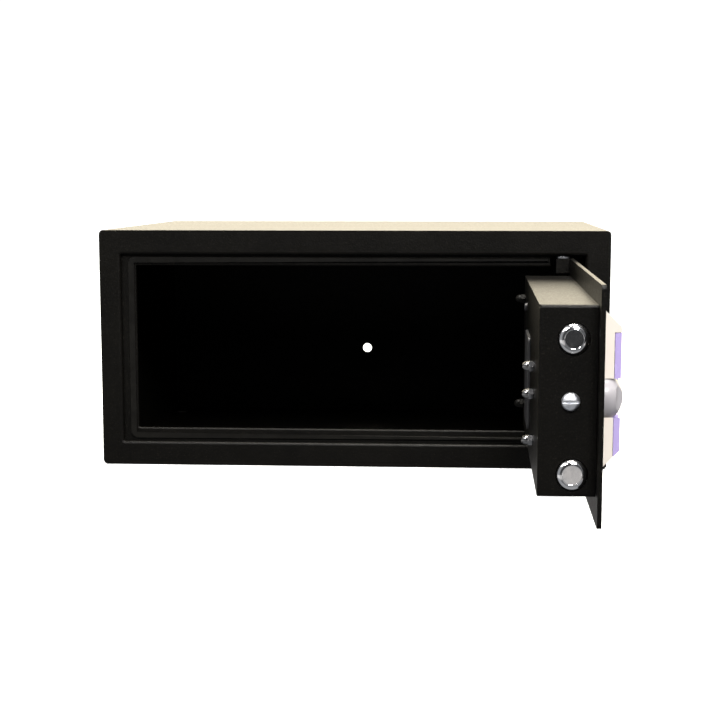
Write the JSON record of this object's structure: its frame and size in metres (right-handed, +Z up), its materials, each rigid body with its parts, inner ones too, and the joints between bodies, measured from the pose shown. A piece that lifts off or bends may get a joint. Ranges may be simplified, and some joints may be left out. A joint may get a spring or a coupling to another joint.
{
  "type": "hotel room safe",
  "caption": "Hotel room safe: black steel cabinet with a recessed front frame and a right-hinged door that carries round bolts, turn knob, keypad panel, key override and battery box.",
  "frame": {"origin": "centre of the cabinet's underside", "axes": "+Z up, the cabinet's front faces -Y, the open door reaches forward along -Y on the +X side"},
  "size_m": [0.43, 0.7115, 0.2],
  "materials": {
    "black_coat": "black powder coat with a fine texture",
    "chrome": "bright plated steel",
    "steel": "bare zinc-plated steel",
    "cream_plastic": "moulded, satin",
    "lavender_plastic": "moulded, glossy",
    "grey_plastic": "moulded, satin grey",
    "dark_plastic": "moulded, fine grain",
    "display_glass": "clear dark window",
    "circuit_board": "green solder mask",
    "ribbon": "grey flat cable",
    "battery_wrap": "plain blue wrap",
    "brass": "turned",
    "rubber": "extruded buffer strip"
  },
  "bodies": {
    "cabinet": {"cabinet_shell": "black_coat", "front_frame": "black_coat", "back_panel": "black_coat", "door_seal": "rubber", "hinge_bracket_upper": "steel", "hinge_bracket_lower": "steel"},
    "door": {"door_plate": "black_coat", "lock_case": "black_coat", "cap_nut_1": "chrome", "cap_nut_2": "chrome", "cap_nut_3": "chrome", "cap_nut_4": "black_coat", "cap_nut_5": "black_coat", "hinge_lug_upper": "black_coat", "hinge_lug_lower": "black_coat", "hinge_pin_upper": "steel", "hinge_pin_lower": "steel", "hinge_washer_upper": "steel", "hinge_washer_lower": "steel", "bolt_guide": "steel", "guide_screw": "chrome", "solenoid_body": "steel", "main_board": "circuit_board", "keypad_ribbon": "ribbon", "battery_holder": "dark_plastic", "battery_1": "battery_wrap", "battery_2": "battery_wrap", "battery_3": "battery_wrap", "battery_4": "battery_wrap", "panel_housing": "cream_plastic", "panel_front": "lavender_plastic", "display_window": "display_glass", "display_module": "dark_plastic", "keypad_board": "circuit_board", "lock_barrel": "steel", "cover_screw": "chrome"},
    "bolt_carriage": {"upper_bolt": "chrome", "lower_bolt": "chrome", "upper_bolt_screw": "steel", "lower_bolt_screw": "steel", "bolt_bar": "steel"},
    "knob": {"turn_knob": "grey_plastic", "knob_spindle": "steel"},
    "plunger": {"solenoid_plunger": "brass"},
    "emergency_plug": {"lock_plug": "brass"},
    "hole_cover": {"keyhole_cover": "grey_plastic"},
    "battery_lid": {"battery_door": "dark_plastic"},
    "reset": {"reset_button": "dark_plastic"},
    "key_1_cap": {"key_1": "grey_plastic"},
    "key_2_cap": {"key_2": "grey_plastic"},
    "key_3_cap": {"key_3": "grey_plastic"},
    "key_4_cap": {"key_4": "grey_plastic"},
    "key_5_cap": {"key_5": "grey_plastic"},
    "key_6_cap": {"key_6": "grey_plastic"},
    "key_7_cap": {"key_7": "grey_plastic"},
    "key_8_cap": {"key_8": "grey_plastic"},
    "key_9_cap": {"key_9": "grey_plastic"},
    "key_clear_cap": {"key_clear": "grey_plastic"},
    "key_0_cap": {"key_0": "grey_plastic"},
    "key_lock_cap": {"key_lock": "grey_plastic"}
  },
  "joints": [
    {"name": "door_hinge", "type": "hinge", "parent": "cabinet", "child": "door", "pos_m": [0.176, -0.1665, 0.1], "axis": [0, 0, 1], "range_deg": [-90, 20]},
    {"name": "bolt_slide", "type": "slide", "parent": "door", "child": "bolt_carriage", "axis": [0, -1, 0], "range_m": [0, 0.016]},
    {"name": "knob_turn", "type": "hinge", "parent": "door", "child": "knob", "pos_m": [0.191, -0.4885, 0.1015], "axis": [1, 0, 0], "range_deg": [0, 90]},
    {"name": "plunger_slide", "type": "slide", "parent": "door", "child": "plunger", "axis": [1, 0, 0], "range_m": [0, 0.006], "stiffness_N_per_m": 60},
    {"name": "plug_turn", "type": "hinge", "parent": "door", "child": "emergency_plug", "pos_m": [0.186, -0.4485, 0.085], "axis": [1, 0, 0], "range_deg": [0, 90]},
    {"name": "cover_swing", "type": "hinge", "parent": "door", "child": "hole_cover", "pos_m": [0.1991, -0.4485, 0.101], "axis": [1, 0, 0], "range_deg": [0, 80]},
    {"name": "battery_lid_slide", "type": "slide", "parent": "door", "child": "battery_lid", "axis": [0, 1, 0], "range_m": [0, 0.06]},
    {"name": "reset_press", "type": "slide", "parent": "door", "child": "reset", "axis": [1, 0, 0], "range_m": [0, 0.0015], "stiffness_N_per_m": 300},
    {"name": "key_1_press", "type": "slide", "parent": "door", "child": "key_1_cap", "axis": [-1, 0, 0], "range_m": [0, 0.0015], "stiffness_N_per_m": 300},
    {"name": "key_2_press", "type": "slide", "parent": "door", "child": "key_2_cap", "axis": [-1, 0, 0], "range_m": [0, 0.0015], "stiffness_N_per_m": 300},
    {"name": "key_3_press", "type": "slide", "parent": "door", "child": "key_3_cap", "axis": [-1, 0, 0], "range_m": [0, 0.0015], "stiffness_N_per_m": 300},
    {"name": "key_4_press", "type": "slide", "parent": "door", "child": "key_4_cap", "axis": [-1, 0, 0], "range_m": [0, 0.0015], "stiffness_N_per_m": 300},
    {"name": "key_5_press", "type": "slide", "parent": "door", "child": "key_5_cap", "axis": [-1, 0, 0], "range_m": [0, 0.0015], "stiffness_N_per_m": 300},
    {"name": "key_6_press", "type": "slide", "parent": "door", "child": "key_6_cap", "axis": [-1, 0, 0], "range_m": [0, 0.0015], "stiffness_N_per_m": 300},
    {"name": "key_7_press", "type": "slide", "parent": "door", "child": "key_7_cap", "axis": [-1, 0, 0], "range_m": [0, 0.0015], "stiffness_N_per_m": 300},
    {"name": "key_8_press", "type": "slide", "parent": "door", "child": "key_8_cap", "axis": [-1, 0, 0], "range_m": [0, 0.0015], "stiffness_N_per_m": 300},
    {"name": "key_9_press", "type": "slide", "parent": "door", "child": "key_9_cap", "axis": [-1, 0, 0], "range_m": [0, 0.0015], "stiffness_N_per_m": 300},
    {"name": "key_clear_press", "type": "slide", "parent": "door", "child": "key_clear_cap", "axis": [-1, 0, 0], "range_m": [0, 0.0015], "stiffness_N_per_m": 300},
    {"name": "key_0_press", "type": "slide", "parent": "door", "child": "key_0_cap", "axis": [-1, 0, 0], "range_m": [0, 0.0015], "stiffness_N_per_m": 300},
    {"name": "key_lock_press", "type": "slide", "parent": "door", "child": "key_lock_cap", "axis": [-1, 0, 0], "range_m": [0, 0.0015], "stiffness_N_per_m": 300}
  ],
  "couplings": [
    {"joint": "knob_turn", "follows": "bolt_slide", "rad_per_m": 98.17}
  ]
}
